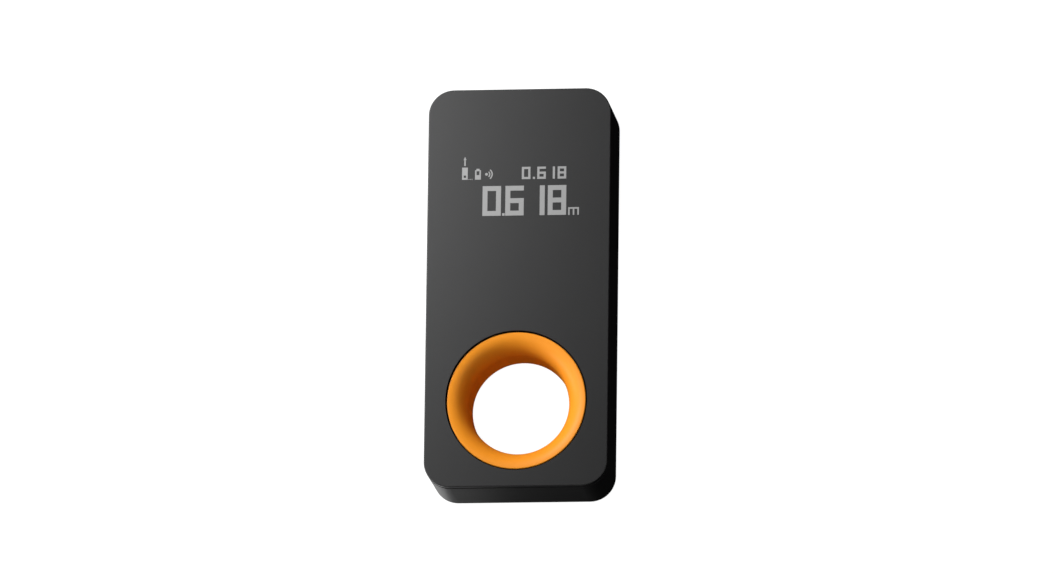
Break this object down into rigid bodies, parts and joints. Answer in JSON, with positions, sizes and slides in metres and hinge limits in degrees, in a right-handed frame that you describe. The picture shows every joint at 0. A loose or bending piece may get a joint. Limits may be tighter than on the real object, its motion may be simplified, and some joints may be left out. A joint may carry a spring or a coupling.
{
  "type": "laser distance meter",
  "caption": "Slim pocket laser distance meter with a lit read-out behind its front cover, a hanging ring through its body and a sprung side button.",
  "frame": {"origin": "centre of the back face, on which the meter lies", "axes": "+X to the right of the read-out, +Y along the length towards the laser end, +Z out of the read-out"},
  "size_m": [0.0385, 0.084, 0.017],
  "materials": {
    "housing_plastic": "fine satin grain",
    "cover_plastic": "fine satin grain, translucent over the read-out",
    "ring_orange": "smooth satin gloss",
    "button_orange": "smooth satin gloss",
    "window_black": "polished",
    "optical_glass": "polished, coated",
    "filter_glass": "red band-pass",
    "foam_black": "closed-cell foam",
    "optics_black": "moulded, matt",
    "chip_black": "moulded package",
    "board_green": "solder mask",
    "gold_contact": "gold plated",
    "brass_metal": "turned",
    "flex_amber": "polyimide film",
    "panel_glass": "dark read-out glass",
    "socket_plastic": "moulded",
    "shield_metal": "tinned",
    "capacitor_tan": "ceramic",
    "cell_foil": "pouch foil",
    "lead_red": "insulated wire",
    "screw_steel": "zinc plated"
  },
  "bodies": {
    "housing": {"rear_housing": "housing_plastic", "front_cover": "cover_plastic", "ring_front": "ring_orange", "ring_rear": "ring_orange", "end_window": "window_black", "laser_window": "optical_glass", "end_gasket": "foam_black", "optics_block": "optics_black", "receiver_lens": "optical_glass", "lens_retainer": "optics_black", "bandpass_filter": "filter_glass", "photo_detector": "chip_black", "receiver_board": "board_green", "header_pins": "gold_contact", "laser_barrel": "brass_metal", "collimating_lens": "optical_glass", "collimator_nut": "brass_metal", "laser_diode": "gold_contact", "laser_flex": "flex_amber", "display_panel": "panel_glass", "display_gasket": "foam_black", "display_flex": "flex_amber", "display_connector": "socket_plastic", "main_board": "board_green", "microcontroller": "chip_black", "radio_shield": "shield_metal", "chip_antenna": "socket_plastic", "crystal": "shield_metal", "inductor": "chip_black", "capacitors": "capacitor_tan", "battery_cell": "cell_foil", "battery_pad": "foam_black", "battery_connector": "socket_plastic", "battery_leads": "lead_red", "charge_board": "board_green", "usb_shell": "shield_metal", "usb_tongue": "chip_black", "charge_flex": "flex_amber", "tact_switch": "chip_black", "board_screws": "screw_steel", "bracket_screws": "screw_steel"},
    "button": {"measure_button": "button_orange", "switch_plunger": "socket_plastic"}
  },
  "joints": [
    {"name": "measure_press", "type": "slide", "parent": "housing", "child": "button", "axis": [1, 0, 0], "range_m": [0, 0.0004], "stiffness_N_per_m": 2000, "springref_m": -0.0001}
  ]
}
